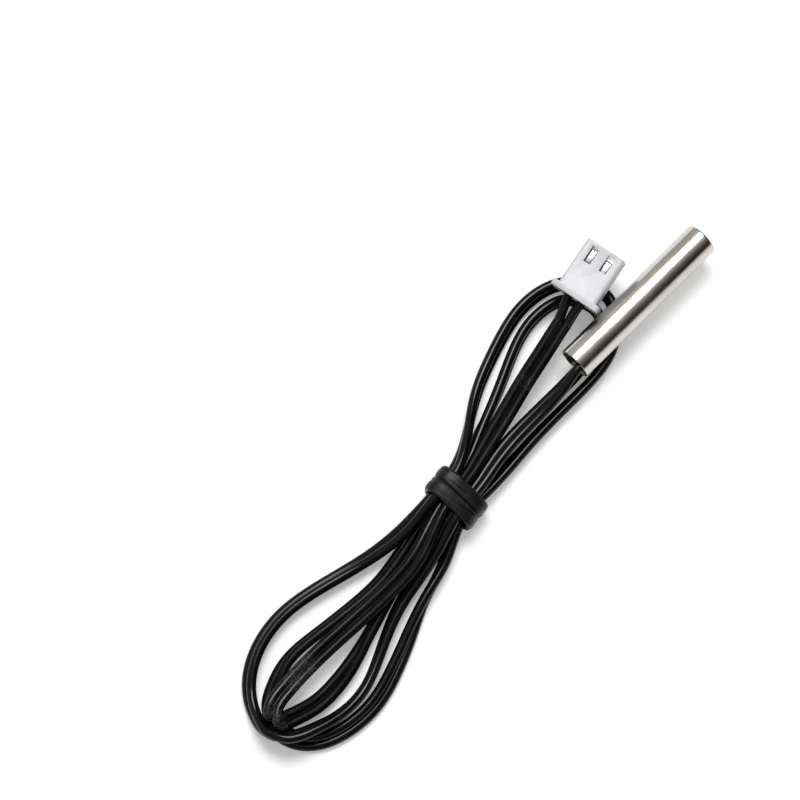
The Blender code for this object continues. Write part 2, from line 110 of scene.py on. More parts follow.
# even points every step millimetres on a smooth curve, the knots and where the points lie on them
def smoothRoute(points, step):
    p = np.array(points, float)
    knots = np.concatenate(([0.0], np.cumsum(np.sqrt(np.linalg.norm(np.diff(p, axis=0), axis=1)))))
    fine = np.linspace(0, knots[-1], 200 * len(p))
    curve = naturalSpline(knots, p, fine)
    travelled = np.concatenate(([0.0], np.cumsum(np.linalg.norm(np.diff(curve, axis=0), axis=1))))
    even = np.linspace(0, travelled[-1], ceil(travelled[-1] / step))
    line = np.stack([np.interp(even, travelled, curve[:, c]) for c in range(3)], axis=1)
    return line, knots, np.interp(even, travelled, fine)


# frame beside a line: unit vectors to the left and upwards, square to its direction
def besideLine(direction):
    left = np.cross((0, 0, 1), direction)
    left /= np.linalg.norm(left, axis=1)[:, None]
    return left, np.cross(direction, left)


# tilt in degrees at each point of the line that brings the pair of cores to the lay angles
def layTilts(line, knots, at, points, lay):
    p = np.array(points, float)
    near = 0.001
    heading = naturalSpline(knots, p, np.minimum(knots + near, knots[-1]))
    heading -= naturalSpline(knots, p, np.maximum(knots - near, 0.0))
    heading /= np.linalg.norm(heading, axis=1)[:, None]
    left, up = besideLine(heading)
    given = [i for i, angle in enumerate(lay) if angle is not None]
    across = np.array([cos(radians(lay[i])) * left[i] + sin(radians(lay[i])) * up[i] for i in given])
    across = np.stack([steadySpline(knots[given], across[:, c], at) for c in range(3)], axis=1)
    direction = np.gradient(line, axis=0)
    direction /= np.linalg.norm(direction, axis=1)[:, None]
    left, up = besideLine(direction)
    return np.degrees(np.arctan2((across * up).sum(axis=1), (across * left).sum(axis=1)))


def lineCurve(name, points, tilts=None):
    data = bpy.data.curves.new(name, 'CURVE')
    data.dimensions = '3D'
    data.twist_mode = 'Z_UP'
    spline = data.splines.new('POLY')
    spline.points.add(len(points) - 1)
    for i, (knot, point) in enumerate(zip(spline.points, points)):
        knot.co = (*(Vector(point) * mm), 1.0)
        if tilts is not None:
            knot.tilt = radians(tilts[i])
    data.use_fill_caps = True
    piece = bpy.data.objects.new(name, data)
    scene.collection.objects.link(piece)
    return piece


def addPiece(name, mesh, material, sharp=35.0):
    mesh.shade_smooth()
    mesh.set_sharp_from_angle(angle=radians(sharp))
    mesh.materials.clear()
    mesh.materials.append(material)
    piece = bpy.data.objects.new(name, mesh)
    scene.collection.objects.link(piece)
    return piece


# the bmesh in millimetres as a mesh in metres
def meshFrom(bm, name):
    bmesh.ops.recalc_face_normals(bm, faces=bm.faces)
    bmesh.ops.scale(bm, vec=(mm, mm, mm), verts=bm.verts)
    mesh = bpy.data.meshes.new(name)
    bm.to_mesh(mesh)
    bm.free()
    return mesh


def seat(piece, slotName, *replaced):
    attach(piece, "root")
    if replaced:
        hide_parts(*replaced)
    return piece


def arc(centre, radius, start, end, count):
    turns = [radians(start + (end - start) * i / count) for i in range(count + 1)]
    return [(centre[0] + radius * cos(t), centre[1] + radius * sin(t)) for t in turns]


# closed solid turned about X from (x, radius) points whose ends lie on the axis
def spunOutline(outline, steps):
    bm = bmesh.new()
    line = [bm.verts.new((x, 0, r)) for x, r in outline]
    edges = [bm.edges.new(pair) for pair in zip(line, line[1:])]
    bmesh.ops.spin(bm, geom=line + edges, cent=(0, 0, 0), axis=(1, 0, 0), angle=2 * pi, steps=steps,
                   use_merge=True, use_duplicate=False)
    bmesh.ops.remove_doubles(bm, verts=bm.verts, dist=1e-4)
    return bm


# bar along X between two corners, with its long edges and its end edges rounded
def block(low, high, longEdge, endEdge=0.0, segments=4):
    bm = bmesh.new()
    bmesh.ops.create_cube(bm, size=1.0)
    size = Vector(high) - Vector(low)
    bmesh.ops.scale(bm, vec=size, verts=bm.verts)
    bmesh.ops.translate(bm, vec=(Vector(high) + Vector(low)) / 2, verts=bm.verts)
    along = [e for e in bm.edges if abs(e.verts[0].co.x - e.verts[1].co.x) > size.x / 2]
    bmesh.ops.bevel(bm, geom=along, offset=longEdge, affect='EDGES', segments=segments, profile=0.5,
                    material=-1)
    if endEdge:
        ends = [e for e in bm.edges if abs(e.verts[0].co.x - e.verts[1].co.x) < 1e-6]
        bmesh.ops.bevel(bm, geom=ends, offset=endEdge, affect='EDGES', segments=3, profile=0.5,
                        material=-1)
    return bm


def helper(bm, name="helper"):
    piece = bpy.data.objects.new(name, meshFrom(bm, name))
    scene.collection.objects.link(piece)
    return piece


# join and cut helper objects, round the new edges, and give the mesh; the helpers are removed
def carve(base, steps, edgeRound, edgeAngle=50.0):
    for operation, tool in steps:
        cut = base.modifiers.new("step", 'BOOLEAN')
        cut.operation = operation
        cut.object = tool
        cut.solver = 'EXACT'
    soften = base.modifiers.new("edges", 'BEVEL')
    soften.width = edgeRound * mm
    soften.segments = 2
    soften.limit_method = 'ANGLE'
    soften.angle_limit = radians(edgeAngle)
    soften.use_clamp_overlap = True
    bpy.context.view_layer.update()
    mesh = bpy.data.meshes.new_from_object(base.evaluated_get(bpy.context.evaluated_depsgraph_get()))
    for used in [base] + [tool for _, tool in steps]:
        bpy.data.objects.remove(used)
    return mesh


# Helpers for shader nodes

def put(tree, kind, **settings):
    made = tree.nodes.new(kind)
    for key, value in settings.items():
        setattr(made, key, value)
    return made


def sockets(group, direction, **kinds):
    for name, (kind, value) in kinds.items():
        socket = group.interface.new_socket(name=name, in_out=direction, socket_type=kind)
        if value is not None:
            socket.default_value = value


def makeReliefGroup():
    # two layers of noise for bump and for uneven gloss
    group = bpy.data.node_groups.new("surfaceRelief", 'ShaderNodeTree')
    sockets(group, 'INPUT', Vector=('NodeSocketVector', None), Coarse=('NodeSocketFloat', 300.0),
            Fine=('NodeSocketFloat', 3000.0), Share=('NodeSocketFloat', 0.5))
    sockets(group, 'OUTPUT', Height=('NodeSocketFloat', None))
    inputs, outputs = put(group, 'NodeGroupInput'), put(group, 'NodeGroupOutput')
    layers = []
    for scaleName, detail in (("Coarse", 3.0), ("Fine", 4.0)):
        layer = put(group, 'ShaderNodeTexNoise')
        layer.inputs["Detail"].default_value = detail
        group.links.new(inputs.outputs["Vector"], layer.inputs["Vector"])
        group.links.new(inputs.outputs[scaleName], layer.inputs["Scale"])
        layers.append(layer)
    mix = put(group, 'ShaderNodeMix', data_type='FLOAT')
    group.links.new(inputs.outputs["Share"], mix.inputs["Factor"])
    group.links.new(layers[0].outputs["Fac"], mix.inputs["A"])
    group.links.new(layers[1].outputs["Fac"], mix.inputs["B"])
    group.links.new(mix.outputs["Result"], outputs.inputs["Height"])
    return group


def makeTonesGroup():
    # soft patches between two colours
    group = bpy.data.node_groups.new("softTones", 'ShaderNodeTree')
    sockets(group, 'INPUT', Vector=('NodeSocketVector', None), Scale=('NodeSocketFloat', 200.0),
            Dark=('NodeSocketColor', (0.2, 0.2, 0.2, 1)), Light=('NodeSocketColor', (0.8, 0.8, 0.8, 1)))
    sockets(group, 'OUTPUT', Colour=('NodeSocketColor', None), Mask=('NodeSocketFloat', None))
    inputs, outputs = put(group, 'NodeGroupInput'), put(group, 'NodeGroupOutput')
    cloud = put(group, 'ShaderNodeTexNoise')
    cloud.inputs["Detail"].default_value = 5.0
    cloud.inputs["Roughness"].default_value = 0.6
    spread = put(group, 'ShaderNodeMapRange', interpolation_type='SMOOTHSTEP')
    spread.inputs["From Min"].default_value = 0.3
    spread.inputs["From Max"].default_value = 0.7
    mix = put(group, 'ShaderNodeMix', data_type='RGBA')
    group.links.new(inputs.outputs["Vector"], cloud.inputs["Vector"])
    group.links.new(inputs.outputs["Scale"], cloud.inputs["Scale"])
    group.links.new(cloud.outputs["Fac"], spread.inputs["Value"])
    group.links.new(spread.outputs["Result"], mix.inputs["Factor"])
    group.links.new(inputs.outputs["Dark"], mix.inputs["A"])
    group.links.new(inputs.outputs["Light"], mix.inputs["B"])
    group.links.new(mix.outputs["Result"], outputs.inputs["Colour"])
    group.links.new(spread.outputs["Result"], outputs.inputs["Mask"])
    return group


def makeSpecksGroup():
    # scattered small round specks of dust
    group = bpy.data.node_groups.new("dustSpecks", 'ShaderNodeTree')
    sockets(group, 'INPUT', Vector=('NodeSocketVector', None), Scale=('NodeSocketFloat', 500.0),
            Size=('NodeSocketFloat', 0.12))
    sockets(group, 'OUTPUT', Mask=('NodeSocketFloat', None))
    inputs, outputs = put(group, 'NodeGroupInput'), put(group, 'NodeGroupOutput')
    cells = put(group, 'ShaderNodeTexVoronoi')
    edge = put(group, 'ShaderNodeMath', operation='LESS_THAN')
    split = put(group, 'ShaderNodeSeparateColor')
    chosen = put(group, 'ShaderNodeMath', operation='GREATER_THAN')
    chosen.inputs[1].default_value = 0.72
    both = put(group, 'ShaderNodeMath', operation='MULTIPLY')
    group.links.new(inputs.outputs["Vector"], cells.inputs["Vector"])
    group.links.new(inputs.outputs["Scale"], cells.inputs["Scale"])
    group.links.new(cells.outputs["Distance"], edge.inputs[0])
    group.links.new(inputs.outputs["Size"], edge.inputs[1])
    group.links.new(cells.outputs["Color"], split.inputs["Color"])
    group.links.new(split.outputs["Red"], chosen.inputs[0])
    group.links.new(edge.outputs[0], both.inputs[0])
    group.links.new(chosen.outputs[0], both.inputs[1])
    group.links.new(both.outputs[0], outputs.inputs["Mask"])
    return group


reliefGroup = makeReliefGroup()
tonesGroup = makeTonesGroup()
specksGroup = makeSpecksGroup()


def newMaterial(name):
    material = bpy.data.materials.new(name)
    material.use_nodes = True
    tree = material.node_tree
    return material, tree, tree.nodes["Principled BSDF"]


# object coordinates for a pattern that is drawn out along the axes and turned about Z
def placed(tree, drawn=(1, 1, 1), turn=0.0):
    coordinates = put(tree, 'ShaderNodeTexCoord')
    mapping = put(tree, 'ShaderNodeMapping', vector_type='TEXTURE')
    mapping.inputs["Scale"].default_value = drawn
    mapping.inputs["Rotation"].default_value = (0, 0, turn)
    tree.links.new(coordinates.outputs["Object"], mapping.inputs["Vector"])
    return mapping.outputs["Vector"]


def useGroup(tree, group, vector, **values):
    made = put(tree, 'ShaderNodeGroup', node_tree=group)
    tree.links.new(vector, made.inputs["Vector"])
    for key, value in values.items():
        made.inputs[key].default_value = value
    return made


# the value carried from the range start..end to low..high
def spread(tree, value, low, high, start=0.0, end=1.0):
    made = put(tree, 'ShaderNodeMapRange')
    made.inputs["From Min"].default_value = start
    made.inputs["From Max"].default_value = end
    made.inputs["To Min"].default_value = low
    made.inputs["To Max"].default_value = high
    tree.links.new(value, made.inputs["Value"])
    return made.outputs["Result"]


def mixColour(tree, factor, first, second):
    made = put(tree, 'ShaderNodeMix', data_type='RGBA')
    tree.links.new(factor, made.inputs["Factor"])
    for name, colour in (("A", first), ("B", second)):
        if isinstance(colour, tuple):
            made.inputs[name].default_value = (*colour, 1)
        else:
            tree.links.new(colour, made.inputs[name])
    return made.outputs["Result"]


def roughen(tree, shader, height, depth, strength=0.5):
    bump = put(tree, 'ShaderNodeBump')
    bump.inputs["Strength"].default_value = strength
    bump.inputs["Distance"].default_value = depth * mm
    tree.links.new(height, bump.inputs["Height"])
    tree.links.new(bump.outputs["Normal"], shader.inputs["Normal"])


# Black cable insulation

insulationLook = {
    "dark": (0.0016, 0.0016, 0.002),
    "light": (0.0045, 0.0045, 0.005),
    "dust": (0.06, 0.06, 0.06),
    "gloss": (0.12, 0.2),
    "dullGloss": 0.26,               # added where the surface is rubbed dull
    "shine": 0.13,
    "skin": 0.28,                    # weight of the glossy skin where it isn't rubbed
    "skinGloss": 0.15,
    # paler grey of scuffs, and at the fold partly a painted sheen
    "rubbedAndSheen": (0.06, 0.06, 0.063),
}


def makeInsulation():
    material, tree, shader = newMaterial("blackInsulation")
    vector = placed(tree)
    tones = useGroup(tree, tonesGroup, vector, Scale=350.0, Dark=(*insulationLook["dark"], 1),
                     Light=(*insulationLook["light"], 1))
    specks = useGroup(tree, specksGroup, vector, Scale=900.0, Size=0.07)
    relief = useGroup(tree, reliefGroup, vector, Coarse=700.0, Fine=6000.0, Share=0.4)
    dusty = mixColour(tree, specks.outputs["Mask"], tones.outputs["Colour"], insulationLook["dust"])
    dull = put(tree, 'ShaderNodeAttribute', attribute_name="dull").outputs["Fac"]
    scuffAndSheen = put(tree, 'ShaderNodeAttribute', attribute_name="scuffAndSheen").outputs["Fac"]
    scuffs = useGroup(tree, tonesGroup, vector, Scale=3200.0)
    cover = put(tree, 'ShaderNodeMath', operation='MULTIPLY_ADD')
    cover.inputs[1].default_value = 0.5
    tree.links.new(scuffs.outputs["Mask"], cover.inputs[0])
    tree.links.new(scuffAndSheen, cover.inputs[2])
    covered = spread(tree, cover.outputs[0], 0.0, 1.0, 0.5, 1.0)
    # paler grey for scuffs and, at the fold, partly a painted sheen
    colour = mixColour(tree, covered, dusty, insulationLook["rubbedAndSheen"])
    tree.links.new(colour, shader.inputs["Base Color"])
    gloss = put(tree, 'ShaderNodeMath', operation='ADD')
    clean = spread(tree, relief.outputs["Height"], *insulationLook["gloss"], 0.35, 0.65)
    tree.links.new(clean, gloss.inputs[0])
    tree.links.new(spread(tree, dull, 0.0, insulationLook["dullGloss"]), gloss.inputs[1])
    tree.links.new(gloss.outputs[0], shader.inputs["Roughness"])
    tree.links.new(spread(tree, dull, insulationLook["skin"], 0.0), shader.inputs["Coat Weight"])
    shader.inputs["Coat Roughness"].default_value = insulationLook["skinGloss"]
    shader.inputs["Specular IOR Level"].default_value = insulationLook["shine"]
    roughen(tree, shader, relief.outputs["Height"], 0.03, 0.35)
    return material


insulation = makeInsulation()


# Flat cable: two cores side by side, with the angle of their plane at each point of the route.
# A lay of 90 stands the pair on edge and 0 or 180 lays it flat. Where the pair is folded over itself
# no angle is given and the plane is carried on from its neighbours.

cable = {
    "coreRadius": 0.675,
    "coreOffset": 0.65,
    "waist": 0.004,                  # how softly the two cores run into each other
    "profilePoints": 44,
    "step": 0.4,
    "length": 462.4,
    "leaves": (-24.6, -0.82, -0.05),
    # from and to along the cable, how dull it is rubbed there, and how pale: scuffs, and at the fold
    # (393.5 to 397.5) partly stress whitening and partly a painted sheen
    "rubbedAndSheen": [(244, 274, 0.7, 0.0), (360, 393, 1.0, 0.0), (393.5, 397.5, 0.3, 0.45),
               (400, 406, 0.5, 0.38), (408, 428, 0.6, 0.0), (434, 470, 1.0, 0.0),
               (452, 454.5, 1.0, 0.3)],
    "fade": 2.0,                     # length over which a rubbed stretch begins and ends
}
onEdge = 1.35                        # centre above the table of a pair on edge
fromProbe = [
    (-21.6, -0.8, 5.25, 88), (-25.4, -0.82, 5.25, 82), (-28.0, -1.05, 4.75, 62), (-33.0, -1.15, 4.0, 40),
    (-38.5, -1.25, 3.8, 38), (-43.0, -1.9, 4.05, 42),
]
firstLoop = [
    (-56.2, -4.5, 3.3, 48), (-60.8, -5.4, 2.0, 50), (-65.0, -6.4, 1.55, 65), (-69.5, -8.2, onEdge, 75),
    (-74.4, -10.4, onEdge, 80), (-78.0, -11.2, 1.75, 76), (-81.6, -11.0, 2.55, 70),
    (-85.0, -10.05, 3.35, 64), (-87.6, -8.8, 3.65, 64), (-89.25, -6.5, 3.05, 88), (-89.0, -3.7, 1.9, 106),
    (-87.6, -0.9, onEdge, 116), (-85.2, 1.5, onEdge, 122), (-81.5, 3.3, onEdge, 125),
    (-76.5, 4.0, onEdge, 126), (-70.5, 3.1, onEdge, 127), (-64.0, 1.5, 1.5, 130), (-57.2, 0.45, 2.9, 138),
]
outerTurn = [
    (-42.3, 3.4, 3.1, 98), (-37.1, 6.75, 1.75, 80), (-32.0, 9.0, onEdge, 74), (-26.5, 10.7, onEdge, 72),
    (-22.3, 11.1, onEdge, 72), (-18.0, 10.0, onEdge, 78), (-15.2, 7.2, onEdge, 84),
    (-14.3, 3.7, onEdge, 86), (-15.9, 0.9, onEdge, 85), (-18.8, -1.5, onEdge, 80),
    (-23.0, -2.65, onEdge, 80), (-29.0, -2.8, onEdge, 75), (-36.0, -2.9, onEdge, 70),
    (-42.5, -3.3, 1.55, 60),
]
secondLoop = [
    (-56.0, -6.2, 1.5, 70), (-61.7, -8.05, onEdge, 95), (-67.5, -10.4, 1.2, 128),
    (-71.3, -11.9, 1.14, 138), (-74.7, -12.95, 1.12, 142), (-78.1, -13.35, 1.12, 142),
    (-81.6, -12.95, 1.12, 142), (-84.6, -11.85, 1.1, 144), (-86.6, -10.2, 1.02, 152),
    (-87.6, -8.4, 0.9, 165), (-87.85, -6.5, 0.88, 176), (-87.2, -4.75, 0.88, 172),
    (-85.9, -3.2, 0.95, 160), (-83.9, -2.0, 1.2, 138), (-81.8, -1.15, 1.32, 122),
    (-79.0, -0.8, onEdge, 116), (-75.0, -1.15, onEdge, 114), (-69.3, -1.8, onEdge, 116),
    (-64.5, -2.0, onEdge, 118), (-60.9, -1.55, 1.45, 120), (-57.3, -0.75, 1.65, 122),
]
innerTurn = [
    (-43.4, 1.75, 1.8, 118), (-40.1, 2.95, 1.5, 100), (-37.0, 4.1, 1.4, 90), (-32.8, 5.85, onEdge, 84),
    (-26.5, 8.4, onEdge, 82), (-22.0, 8.8, onEdge, 84), (-18.9, 7.8, onEdge, 88), (-17.1, 5.4, onEdge, 90),
    (-17.0, 2.9, onEdge, 88), (-18.8, 0.9, onEdge, 84), (-21.9, -0.35, onEdge, 80),
    (-25.5, -0.8, onEdge, 78), (-31.0, -0.85, onEdge, 72), (-37.0, -0.95, onEdge, 66),
    (-42.5, -1.2, 1.6, 55),
]
thirdLoop = [
    (-55.5, -2.4, 1.6, 50), (-61.0, -3.32, onEdge, 60), (-66.5, -4.9, 1.3, 68), (-70.5, -6.1, 1.3, 66),
    (-73.3, -6.9, 1.2, 50), (-76.0, -7.5, 1.1, 32), (-78.8, -7.85, 1.1, 14), (-81.6, -7.85, 1.4, 5),
    (-84.2, -7.35, 2.1, 0), (-86.3, -6.7, 2.65, 0), (-87.4, -6.1, 3.35, None), (-87.4, -5.1, 4.15, None),
    (-85.9, -4.2, 4.2, 180), (-83.9, -3.85, 3.9, 180), (-81.0, -3.62, 3.6, 180), (-75.5, -3.6, 3.55, 180),
    (-69.0, -3.9, 3.55, 176), (-62.5, -4.0, 3.9, 168), (-57.8, -3.3, 4.2, 156),
]
toPlug = [
    (-43.0, 0.15, 4.1, 142), (-38.0, 1.45, 3.85, 165), (-33.5, 2.63, 4.0, 178), (-30.5, 3.36, 4.3, 180),
    (-27.2, 4.05, 4.65, 180), (-24.6, 4.62, 4.9, 180), (-22.2, 5.13, 5.15, 180),
]
# strands in the tie in travelling order: across the bundle, height and lay
slots = [(-1.4, 4.3, 47), (2.35, 4.3, 118), (-2.1, 2.05, 47), (2.2, 2.05, 133), (0.05, 2.05, 47),
         (0.5, 4.3, 133)]


tie = {
    "centre": (-49.1, -1.45),
    "heading": 6.0,
    "slotReach": 2.3,
    "innerHalfWidth": 3.45,
    "innerHeight": 4.7,
    "innerBottom": 0.8,
    "thickness": 0.72,
    "wraps": ((-1.05, 2.25), (1.05, 2.0)),
    "groove": 0.5,
    "faintGroove": 0.22,
    "lean": 0.2,                     # the outside stands higher on the left
    "skew": 0.22,
    "squareness": (3.1, 4.0),        # of the outside and of the inside, 2 is an ellipse
    "wrinkle": 0.07,                 # uneven height, and how far the edges waver
    "waver": 0.12,
    "profileSteps": 14,
    "spunAt": 10.0,                  # radius of the ring before it is pressed to its outline
}


def inTie(across, along, height, lay):
    turn = radians(tie["heading"])
    x = tie["centre"][0] + along * cos(turn) - across * sin(turn)
    y = tie["centre"][1] + along * sin(turn) + across * cos(turn)
    return (x, y, height, lay)


def cableRoute():
    stretches = [fromProbe, firstLoop, outerTurn, secondLoop, innerTurn, thirdLoop, toPlug]
    route = list(stretches[0])
    for i, (across, height, lay) in enumerate(slots):
        reach = tie["slotReach"] if i % 2 == 0 else -tie["slotReach"]
        route += [inTie(across, along, height, lay) for along in (reach, -reach)]
        route += stretches[i + 1]
    points = [(x, y, height - axisHeight) for x, y, height, lay in route]
    line, knots, at = smoothRoute(points, cable["step"])
    return line, layTilts(line, knots, at, points, [lay for x, y, height, lay in route])


def twinProfile():
    # outline of two round cores that meet in a thin web, as a closed curve
    data = bpy.data.curves.new("twinProfile", 'CURVE')
    data.dimensions = '2D'
    spline = data.splines.new('POLY')
    count = cable["profilePoints"]
    spline.points.add(count - 1)
    spline.use_cyclic_u = True
    offset, radius = cable["coreOffset"], cable["coreRadius"]
    for i, knot in enumerate(spline.points):
        turn = 2 * pi * (i + 0.5) / count
        reach = offset * sqrt(cos(turn) ** 2 + cable["waist"])
        reach += sqrt(radius ** 2 - (offset * sin(turn)) ** 2 + cable["waist"] * sin(turn) ** 8)
        knot.co = (reach * cos(turn) * mm, reach * sin(turn) * mm, 0, 1)
    profile = bpy.data.objects.new("twinProfile", data)
    scene.collection.objects.link(profile)
    return profile


# how dull and how pale the cable is at a distance along it; the pale is scuffs, and at the fold partly a
# painted sheen
def rubbedAndSheenAt(along):
    dull = scuffAndSheen = 0.0
    for start, end, dullHere, scuffAndSheenHere in cable["rubbedAndSheen"]:
        share = min(max(min(along - start, end - along) / cable["fade"] + 0.5, 0.0), 1.0)
        dull = max(dull, dullHere * share)
        scuffAndSheen = max(scuffAndSheen, scuffAndSheenHere * share)
    return dull, scuffAndSheen


def makeCable():
    line, lay = cableRoute()
    curve = lineCurve("flatCableLine", line, lay)
    profile = twinProfile()
    curve.data.bevel_mode = 'OBJECT'
    curve.data.bevel_object = profile
    bpy.context.view_layer.update()
    mesh = bpy.data.meshes.new_from_object(curve.evaluated_get(bpy.context.evaluated_depsgraph_get()))
    bpy.data.objects.remove(curve)
    bpy.data.objects.remove(profile)
    mesh.name = "flatCable"
    wearAndSheen = np.array([rubbedAndSheenAt(i * cable["length"] / len(line)) for i in range(len(line))])
    ring = np.minimum(np.arange(len(mesh.vertices)) // cable["profilePoints"], len(line) - 1)
    for column, name in enumerate(("dull", "scuffAndSheen")):
        values = mesh.attributes.new(name, 'FLOAT', 'POINT')
        values.data.foreach_set("value", np.ascontiguousarray(wearAndSheen[ring, column], dtype=np.float32))
    return seat(addPiece("flatCable", mesh, insulation, 60.0), "black_insulation", "cable"), line


flatCable, cableLine = makeCable()
print("flat cable laid:", len(cableLine), "points")


# Single cores from the end of the flat cable into the plug

plug = {
    "position": (-18.67, 6.2),       # middle of the flange's end face
    "heading": 10.2,
    "tilt": 11.0,                    # far end higher than the wire end
    "middleHeight": 5.8,
    "pitch": 2.5,
    "coreSpread": 1.0,               # single cores beside the middle line where they enter
    "coreGrip": (0.95, 1.95),        # where the contacts hold them
    "length": 7.95,
    "width": 5.92,
    "thickness": 4.3,
    "flangeLength": 0.86,
    "flangeWidth": 7.4,
    "flangeThickness": 5.75,
    "cornerRound": 0.45,
    "endRound": 0.15,
    "cavityWidth": 1.9,
    "cavityBottom": -1.0,
    "cavityTop": 1.6,
    "cavityRound": 0.25,
    "windowWidth": 1.04,
    "windowSpan": (4.95, 7.4),
    "ribWidth": 0.7,
    "ribHeight": 0.35,
    "ribOffset": 1.95,
    "ribEnd": 7.1,
    "edgeRound": 0.07,
}


def plugPlace():
    start = Vector((*plug["position"], plug["middleHeight"] - axisHeight)) * mm
    heading = Matrix.Rotation(radians(plug["heading"]), 4, 'Z')
    return Matrix.Translation(start) @ heading @ Matrix.Rotation(-radians(plug["tilt"]), 4, 'Y')


def fromPlug(along, across, up):
    return plugPlace() @ (Vector((along, across, up)) * mm) / mm


def makeSplitCores():
    tail = Vector(cableLine[-1])
    heading = (tail - Vector(cableLine[-8])).normalized()
    left = Vector((-heading.y, heading.x, 0.0)).normalized()
    made = []
    for letter, side in (("A", 1), ("B", -1)):
        across = side * plug["pitch"] / 2
        root = tail + left * side * cable["coreOffset"]
        points = [root - heading * 0.5, root + heading * 0.3]
        points += [fromPlug(-0.2, side * plug["coreSpread"], 0.0)]
        points += [fromPlug(along, across, 0.0) for along in plug["coreGrip"]]
        core = lineCurve("splitCore" + letter, smoothRoute([tuple(p) for p in points], 0.2)[0])
        core.data.bevel_depth = cable["coreRadius"] * mm
        core.data.bevel_resolution = 10
        core.data.materials.append(insulation)
        made.append(seat(core, "black_insulation", "split_core_" + letter.lower()))
    return made


splitCores = makeSplitCores()
print("cores split")


# Sleeve

sleeve = {
    "radius": 2.4,
    "length": 25.0,
    "wall": 0.3,
    "endWall": 0.4,
    "tipRound": 0.35,
    "rimRound": 0.1,
    "steps": 180,
    "metal": (0.80, 0.775, 0.74),
    "tarnish": (0.70, 0.66, 0.61),
    "gloss": (0.14, 0.24),
}


def makeSteel():
    material, tree, shader = newMaterial("polishedSteel")
    fine = placed(tree, (25, 1, 1))
    vector = placed(tree)
    tones = useGroup(tree, tonesGroup, vector, Scale=160.0, Dark=(*sleeve["tarnish"], 1),
                     Light=(*sleeve["metal"], 1))
    drawn = useGroup(tree, reliefGroup, fine, Coarse=900.0, Fine=7000.0, Share=0.6)
    smears = useGroup(tree, reliefGroup, vector, Coarse=220.0, Fine=1800.0, Share=0.35)
    tree.links.new(tones.outputs["Colour"], shader.inputs["Base Color"])
    gloss = spread(tree, smears.outputs["Height"], *sleeve["gloss"], 0.35, 0.65)
    tree.links.new(gloss, shader.inputs["Roughness"])
    shader.inputs["Metallic"].default_value = 1.0
    roughen(tree, shader, drawn.outputs["Height"], 0.006, 0.4)
    return material


steel = makeSteel()


def makeSleeve():
    bore = sleeve["radius"] - sleeve["wall"]
    tip, rim, length = sleeve["tipRound"], sleeve["rimRound"], sleeve["length"]
    floorEdge = 0.2
    outline = [(0.0, 0.0)]
    outline += arc((-tip, sleeve["radius"] - tip), tip, 0, 90, 10)
    outline += [(-length * share, sleeve["radius"]) for share in (0.2, 0.4, 0.6, 0.8)]
    outline += arc((-length + rim, sleeve["radius"] - rim), rim, 90, 180, 6)
    outline += arc((-length + rim, bore + rim), rim, 180, 270, 6)
    outline += arc((-sleeve["endWall"] - floorEdge, bore - floorEdge), floorEdge, 90, 0, 5)
    outline += [(-sleeve["endWall"], 0.0)]
    mesh = meshFrom(spunOutline(outline, sleeve["steps"]), "steelSleeve")
    return seat(addPiece("steelSleeve", mesh, steel, 50.0), "polished_steel", "probe_sleeve")


makeSleeve()
print("sleeve turned")


# Potting in the open end, drawn up the wall and round the cable

potting = {
    "front": -24.3,
    "back": -20.4,
    "radius": 2.1,
    "wallRise": 0.14,
    "cableRise": 0.4,
    "dark": (0.008, 0.008, 0.008),
    "light": (0.02, 0.02, 0.021),
}


def makeEpoxy():
    material, tree, shader = newMaterial("blackEpoxy")
    vector = placed(tree)
    tones = useGroup(tree, tonesGroup, vector, Scale=900.0, Dark=(*potting["dark"], 1),
                     Light=(*potting["light"], 1))
    relief = useGroup(tree, reliefGroup, vector, Coarse=900.0, Fine=5000.0, Share=0.2)
    tree.links.new(tones.outputs["Colour"], shader.inputs["Base Color"])
    tree.links.new(spread(tree, relief.outputs["Height"], 0.06, 0.16), shader.inputs["Roughness"])
    roughen(tree, shader, relief.outputs["Height"], 0.05, 0.3)
    return material


def makePotting():
    radius = potting["radius"]
    rings = [(potting["front"], radius * i / 40) for i in range(41)]
    bm = spunOutline(rings + [(potting["back"], radius), (potting["back"], 0.0)], 72)
    level = cable["leaves"][2]
    for vert in bm.verts:
        if vert.co.x > potting["front"] + 0.01:
            continue
        away = radius - hypot(vert.co.y, vert.co.z)
        reach = min(max(vert.co.z - level, -cable["coreOffset"]), cable["coreOffset"])
        cableGap = hypot(vert.co.y - cable["leaves"][1], vert.co.z - level - reach) - cable["coreRadius"]
        vert.co.x -= potting["wallRise"] * exp(-away / 0.2)
        vert.co.x -= potting["cableRise"] * exp(-max(cableGap, 0.0) / 0.22)
    mesh = meshFrom(bm, "pottingFill")
    return seat(addPiece("pottingFill", mesh, makeEpoxy(), 60.0), "black_epoxy", "potting_compound")


makePotting()
print("potting filled")


# Tie: a rubber band wound twice round the hank

tieLook = {
    "dark": (0.002, 0.002, 0.0025),
    "light": (0.012, 0.012, 0.013),
    "gloss": (0.22, 0.46),
    "shine": 0.32,
    "steps": 160,
}


def makeBandRubber():
    material, tree, shader = newMaterial("bandRubber")
    vector = placed(tree, (1, 14, 14), radians(tie["heading"]))
    tones = useGroup(tree, tonesGroup, vector, Scale=2200.0, Dark=(*tieLook["dark"], 1),
                     Light=(*tieLook["light"], 1))
    relief = useGroup(tree, reliefGroup, vector, Coarse=1500.0, Fine=5000.0, Share=0.35)
    tree.links.new(tones.outputs["Colour"], shader.inputs["Base Color"])
    gloss = spread(tree, relief.outputs["Height"], *tieLook["gloss"], 0.35, 0.65)
    tree.links.new(gloss, shader.inputs["Roughness"])
    shader.inputs["Specular IOR Level"].default_value = tieLook["shine"]
    roughen(tree, shader, relief.outputs["Height"], 0.3, 1.0)
    return material


def superellipse(turn, halfWidth, halfHeight, power):
    return ((abs(sin(turn)) / halfWidth) ** power + (abs(cos(turn)) / halfHeight) ** power) ** (-1 / power)


